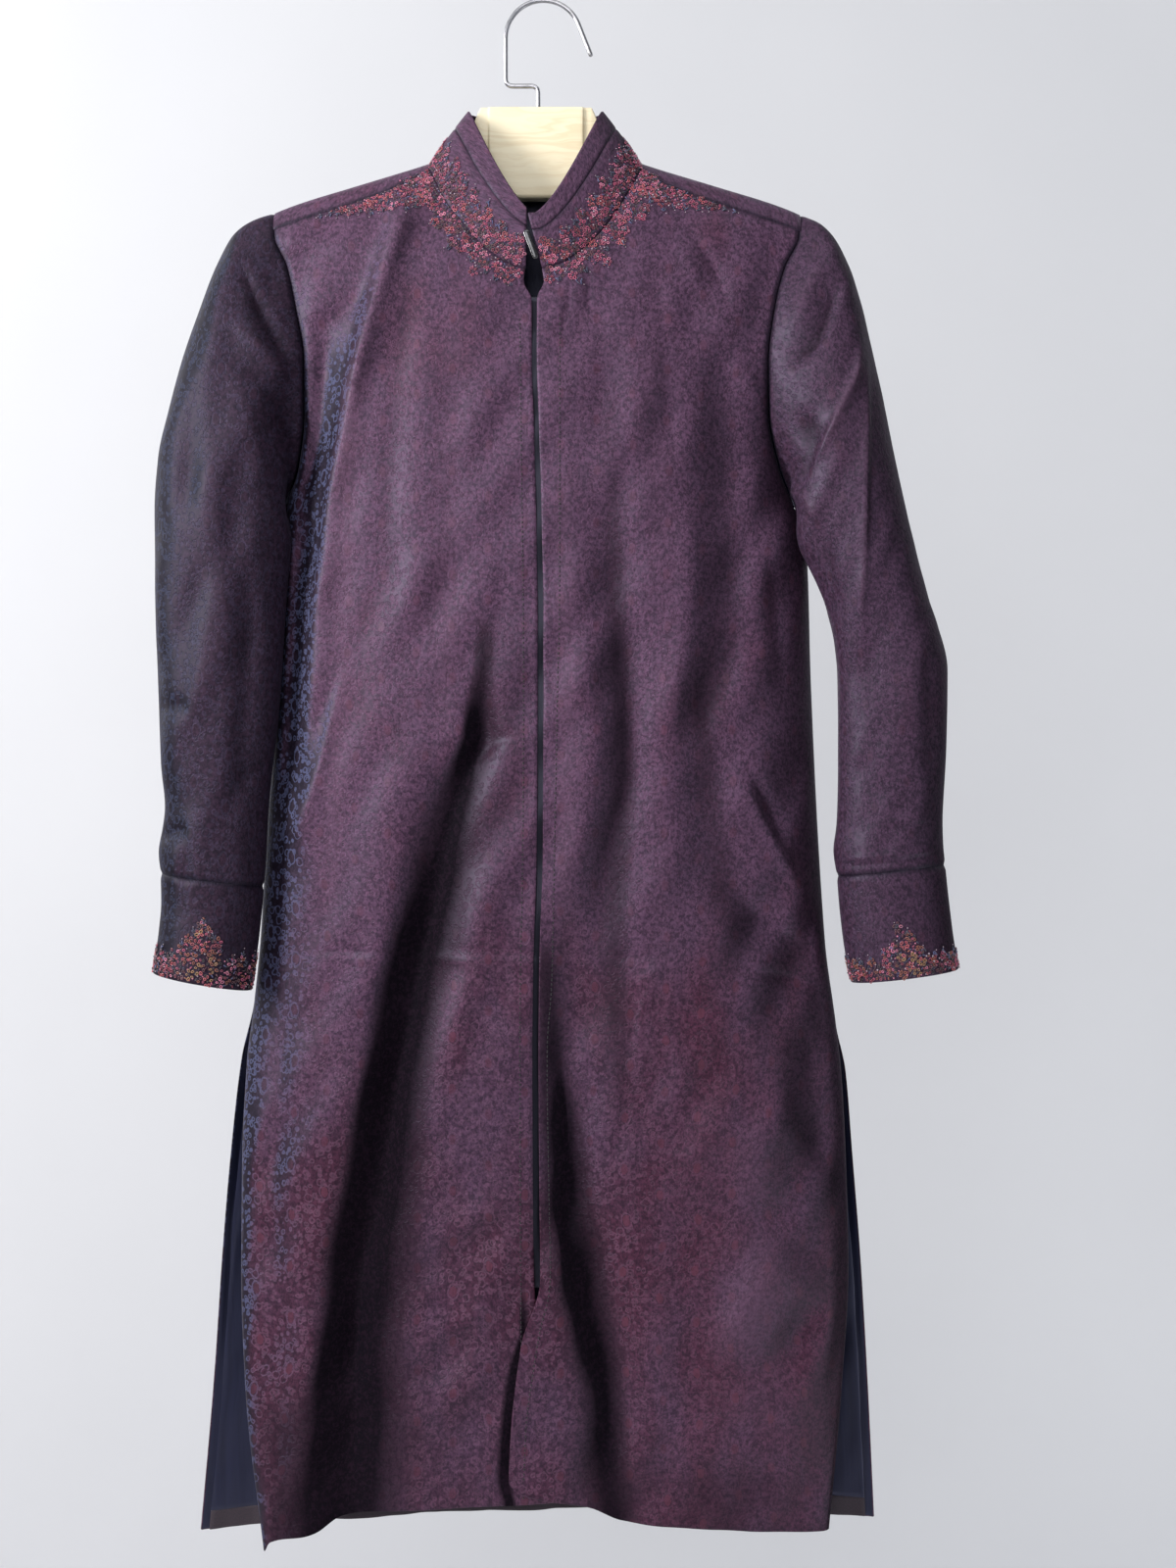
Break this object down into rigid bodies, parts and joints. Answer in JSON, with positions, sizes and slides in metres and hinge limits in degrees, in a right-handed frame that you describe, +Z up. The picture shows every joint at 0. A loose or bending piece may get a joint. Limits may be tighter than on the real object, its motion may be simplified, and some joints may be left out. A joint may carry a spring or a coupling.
{
  "type": "kurta on a wooden hanger",
  "caption": "Long navy and burgundy jacquard kurta with an embroidered band collar and cuffs, side slits and an open front, hung on a pale wooden hanger.",
  "frame": {"origin": "inner top of the hanger's hook, where a rail or nail holds it", "axes": "+Z up, the front of the garment faces -Y, +X to the wearer's left"},
  "size_m": [0.6335, 0.0919, 1.2287],
  "materials": {
    "jacquard": "satin",
    "lining": "satin",
    "facing": "matte",
    "wood": "satin",
    "chrome": "polished"
  },
  "bodies": {
    "root": {"front_right": "jacquard", "front_left": "jacquard", "back": "jacquard", "sleeve_right": "jacquard", "sleeve_left": "jacquard", "cuff_right": "jacquard", "cuff_left": "jacquard", "collar_stand": "jacquard", "collar_border": "jacquard", "front_underlap": "lining", "lining_back": "lining", "back_hem_facing": "facing", "clasp_bar": "chrome", "hanger_body": "wood", "hanger_hook": "chrome"}
  },
  "joints": []
}
